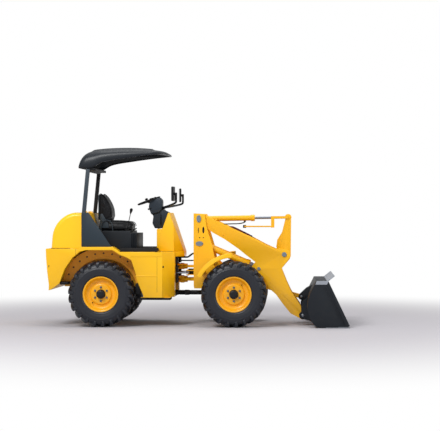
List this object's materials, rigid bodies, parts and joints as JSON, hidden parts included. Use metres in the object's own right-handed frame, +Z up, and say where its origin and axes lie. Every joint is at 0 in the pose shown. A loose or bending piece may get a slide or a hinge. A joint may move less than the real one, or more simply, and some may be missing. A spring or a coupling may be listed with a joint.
{
  "type": "compact wheel loader",
  "caption": "Compact articulated wheel loader with an open canopy, a linkage boom, a front bucket, lugged tyres and steering cylinders at the centre pivot.",
  "frame": {"origin": "on the ground under the middle of the machine's overall length and width", "axes": "+X forward, from the counterweight to the bucket; +Y to the machine's left; +Z up"},
  "size_m": [4.23, 1.69, 2.5145],
  "materials": {
    "tyre": "black moulded rubber with angled lugs",
    "rim": "yellow enamel, dark hub cap",
    "body_yellow": "yellow enamel",
    "hood_yellow": "bright yellow enamel",
    "frame_yellow": "yellow enamel",
    "axle_black": "black enamel",
    "cover_grey": "dark blue-grey moulding",
    "base_black": "near-black moulding",
    "mat_black": "black ribbed rubber",
    "seat_black": "black vinyl",
    "dash_black": "black moulding",
    "control_black": "black grips",
    "post_grey": "dark blue-grey enamel",
    "roof_black": "near-black moulding",
    "mirror_black": "black housing, mirror glass",
    "engine_grey": "grey casting",
    "hose_black": "black hose",
    "cylinder_yellow": "yellow enamel",
    "steer_black": "black enamel",
    "rod_chrome": "polished rod",
    "indicator_yellow": "yellow enamel",
    "bucket_dark": "dark grey enamel, worn at the edge",
    "edge_steel": "worn steel"
  },
  "bodies": {
    "rear": {"rear_frame": "frame_yellow", "rear_axle": "axle_black", "counterweight": "body_yellow", "body_shell": "body_yellow", "floor_mat": "mat_black", "bulkhead": "body_yellow", "side_covers": "cover_grey", "seat_base": "base_black", "seat": "seat_black", "cowl": "body_yellow", "dash_column": "dash_black", "steering_wheel": "dash_black", "controls": "control_black", "canopy_posts": "post_grey", "canopy_roof": "roof_black", "mirrors": "mirror_black", "engine_block": "engine_grey", "rear_hoses": "hose_black"},
    "hood": {"hood": "hood_yellow"},
    "front": {"front_frame": "frame_yellow", "front_axle": "axle_black", "fenders": "body_yellow", "front_hoses": "hose_black"},
    "boom": {"boom": "frame_yellow"},
    "bellcrank": {"bellcrank": "frame_yellow"},
    "bucket": {"bucket": "bucket_dark", "cutting_edge": "edge_steel"},
    "link": {"bucket_link": "frame_yellow"},
    "tilt_barrel": {"tilt_barrel": "cylinder_yellow"},
    "tilt_rod": {"tilt_rod": "rod_chrome", "level_indicator": "indicator_yellow"},
    "lift_barrels": {"lift_barrels": "cylinder_yellow"},
    "lift_rods": {"lift_rods": "rod_chrome"},
    "steer_barrel_left": {"steer_barrel_left": "steer_black"},
    "steer_barrel_right": {"steer_barrel_right": "steer_black"},
    "steer_rod_left": {"steer_rod_left": "rod_chrome"},
    "steer_rod_right": {"steer_rod_right": "rod_chrome"},
    "wheel_front_left": {"tyre_front_left": "tyre", "rim_front_left": "rim"},
    "wheel_front_right": {"tyre_front_right": "tyre", "rim_front_right": "rim"},
    "wheel_rear_left": {"tyre_rear_left": "tyre", "rim_rear_left": "rim"},
    "wheel_rear_right": {"tyre_rear_right": "tyre", "rim_rear_right": "rim"}
  },
  "joints": [
    {"name": "articulation", "type": "hinge", "parent": "rear", "child": "front", "pos_m": [-0.25, 0, 0.7325], "axis": [0, 0, 1], "range_deg": [-36, 36]},
    {"name": "hood_lift", "type": "hinge", "parent": "rear", "child": "hood", "pos_m": [-1.639, 0, 1.6028], "axis": [0, 1, 0], "range_deg": [0, 55]},
    {"name": "wheel_front_left_spin", "type": "hinge", "parent": "front", "child": "wheel_front_left", "pos_m": [0.515, 0.648, 0.4575], "axis": [0, 1, 0], "continuous": true},
    {"name": "wheel_front_right_spin", "type": "hinge", "parent": "front", "child": "wheel_front_right", "pos_m": [0.515, -0.648, 0.4575], "axis": [0, 1, 0], "continuous": true},
    {"name": "wheel_rear_left_spin", "type": "hinge", "parent": "rear", "child": "wheel_rear_left", "pos_m": [-1.333, 0.648, 0.4575], "axis": [0, 1, 0], "continuous": true},
    {"name": "wheel_rear_right_spin", "type": "hinge", "parent": "rear", "child": "wheel_rear_right", "pos_m": [-1.333, -0.648, 0.4575], "axis": [0, 1, 0], "continuous": true},
    {"name": "boom_lift", "type": "hinge", "parent": "front", "child": "boom", "pos_m": [0.006, 0, 1.504], "axis": [0, -1, 0], "range_deg": [0, 92]},
    {"name": "bucket_tilt", "type": "hinge", "parent": "boom", "child": "bucket", "pos_m": [1.474, 0, 0.144], "axis": [0, 1, 0], "range_deg": [-35, 132]},
    {"name": "bellcrank_turn", "type": "hinge", "parent": "boom", "child": "bellcrank", "pos_m": [1.2121, 0, 0.9999], "axis": [0, -1, 0], "range_deg": [-12, 43]},
    {"name": "link_turn", "type": "hinge", "parent": "bucket", "child": "link", "pos_m": [1.459, 0, 0.391], "axis": [0, 1, 0], "range_deg": [-114, 31]},
    {"name": "tilt_barrel_turn", "type": "hinge", "parent": "boom", "child": "tilt_barrel", "pos_m": [0.006, 0, 1.504], "axis": [0, 1, 0], "range_deg": [-2, 5]},
    {"name": "tilt_rod_slide", "type": "slide", "parent": "tilt_barrel", "child": "tilt_rod", "axis": [0.9999, 0, 0.0166], "range_m": [-0.38, 0.105]},
    {"name": "lift_barrel_turn", "type": "hinge", "parent": "front", "child": "lift_barrels", "pos_m": [0.015, 0, 1.153], "axis": [0, -1, 0], "range_deg": [0, 90]},
    {"name": "lift_rod_slide", "type": "slide", "parent": "lift_barrels", "child": "lift_rods", "axis": [0.9217, 0, -0.3878], "range_m": [0, 0.52]},
    {"name": "steer_barrel_turn_left", "type": "hinge", "parent": "rear", "child": "steer_barrel_left", "pos_m": [-0.67, 0.245, 0.7375], "axis": [0, 0, 1], "range_deg": [-6, 6]},
    {"name": "steer_rod_slide_left", "type": "slide", "parent": "steer_barrel_left", "child": "steer_rod_left", "axis": [0.9864, -0.1644, 0], "range_m": [-0.12, 0.12]},
    {"name": "steer_barrel_turn_right", "type": "hinge", "parent": "rear", "child": "steer_barrel_right", "pos_m": [-0.67, -0.245, 0.7375], "axis": [0, 0, 1], "range_deg": [-6, 6]},
    {"name": "steer_rod_slide_right", "type": "slide", "parent": "steer_barrel_right", "child": "steer_rod_right", "axis": [0.9864, 0.1644, 0], "range_m": [-0.12, 0.12]}
  ],
  "couplings": [
    {"joint": "bellcrank_turn", "follows": "bucket_tilt", "ratio": 0.32},
    {"joint": "link_turn", "follows": "bucket_tilt", "ratio": -0.86},
    {"joint": "tilt_barrel_turn", "follows": "bucket_tilt", "ratio": 0.03},
    {"joint": "tilt_rod_slide", "follows": "bucket_tilt", "m_per_rad": -0.163},
    {"joint": "lift_barrel_turn", "follows": "boom_lift", "ratio": 0.945},
    {"joint": "lift_rod_slide", "follows": "boom_lift", "m_per_rad": 0.31},
    {"joint": "steer_barrel_turn_left", "follows": "articulation", "ratio": 0.12},
    {"joint": "steer_rod_slide_left", "follows": "articulation", "m_per_rad": -0.17},
    {"joint": "steer_barrel_turn_right", "follows": "articulation", "ratio": 0.12},
    {"joint": "steer_rod_slide_right", "follows": "articulation", "m_per_rad": 0.17}
  ]
}
